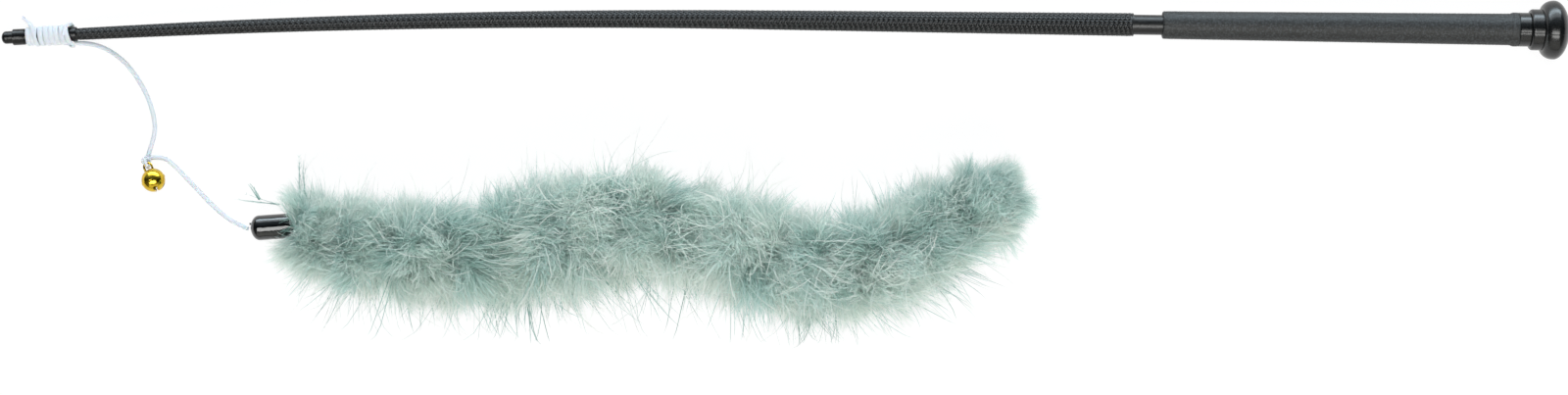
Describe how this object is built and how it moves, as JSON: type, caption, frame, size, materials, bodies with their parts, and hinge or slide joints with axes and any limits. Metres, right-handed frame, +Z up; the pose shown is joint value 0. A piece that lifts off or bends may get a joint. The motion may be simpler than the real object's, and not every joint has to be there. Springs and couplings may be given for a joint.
{
  "type": "cat teaser wand",
  "caption": "Whip-style cat teaser wand: tapered braided rod with a pebbled grip and pommel, elastic cord wound on its tip, a jingle bell on the cord and a fluffy boa lure.",
  "frame": {"origin": "on the table under the middle of the wand and its lure, measured without the free cord, its knot and the bell on it", "axes": "+X along the handle towards the pommel, +Y across the table away from the lure, +Z up"},
  "size_m": [0.6496, 0.1363, 0.0335],
  "materials": {
    "braid": "tight glossy braid",
    "rod": "satin",
    "grip": "fine pebbled matte",
    "pommel": "gloss",
    "tip": "satin",
    "cord": "woven elastic",
    "bell": "polished gold plating",
    "pellet": "plain",
    "cap": "glossy vinyl",
    "string": "twisted thread",
    "plume": "soft down"
  },
  "bodies": {
    "wand": {"core_rod": "rod", "braid_sleeve": "braid", "grip": "grip", "grip_ferrule": "pommel", "pommel": "pommel", "tip_cap": "tip", "tip_sleeve": "tip", "cord_winding": "cord", "cord_hitch": "cord"},
    "upper_cord": {"cord_upper": "cord", "bell_knot": "cord"},
    "lower_cord": {"cord_lower": "cord"},
    "bell": {"bell_top": "bell", "bell_bottom": "bell", "bell_loop": "bell"},
    "pellet": {"bell_pellet": "pellet"},
    "lure": {"lure_cap": "cap", "stopper_knot": "cord", "boa_string": "string", "boa_plume": "plume"}
  },
  "joints": [
    {"name": "cord_swing", "type": "hinge", "parent": "wand", "child": "upper_cord", "pos_m": [-0.29248, 0.04301, 0.00257], "axis": [0, 0, 1], "range_deg": [-100, 0]},
    {"name": "cord_fold", "type": "hinge", "parent": "upper_cord", "child": "lower_cord", "pos_m": [-0.26408, -0.00539, 0.00225], "axis": [0, 0, 1], "range_deg": [-12, 3]},
    {"name": "bell_swing", "type": "hinge", "parent": "upper_cord", "child": "bell", "pos_m": [-0.26294, -0.00806, 0.00508], "axis": [0, 0, 1], "range_deg": [-70, 5]},
    {"name": "lure_swing", "type": "hinge", "parent": "lower_cord", "child": "lure", "pos_m": [-0.22103, -0.03319, 0.0052], "axis": [0, 0, 1], "range_deg": [-100, 3]},
    {"name": "pellet_roll", "type": "hinge", "parent": "bell", "child": "pellet", "pos_m": [-0.26062, -0.01354, 0.00508], "axis": [0.3907, -0.9205, 0], "range_deg": [-60, 60]}
  ]
}
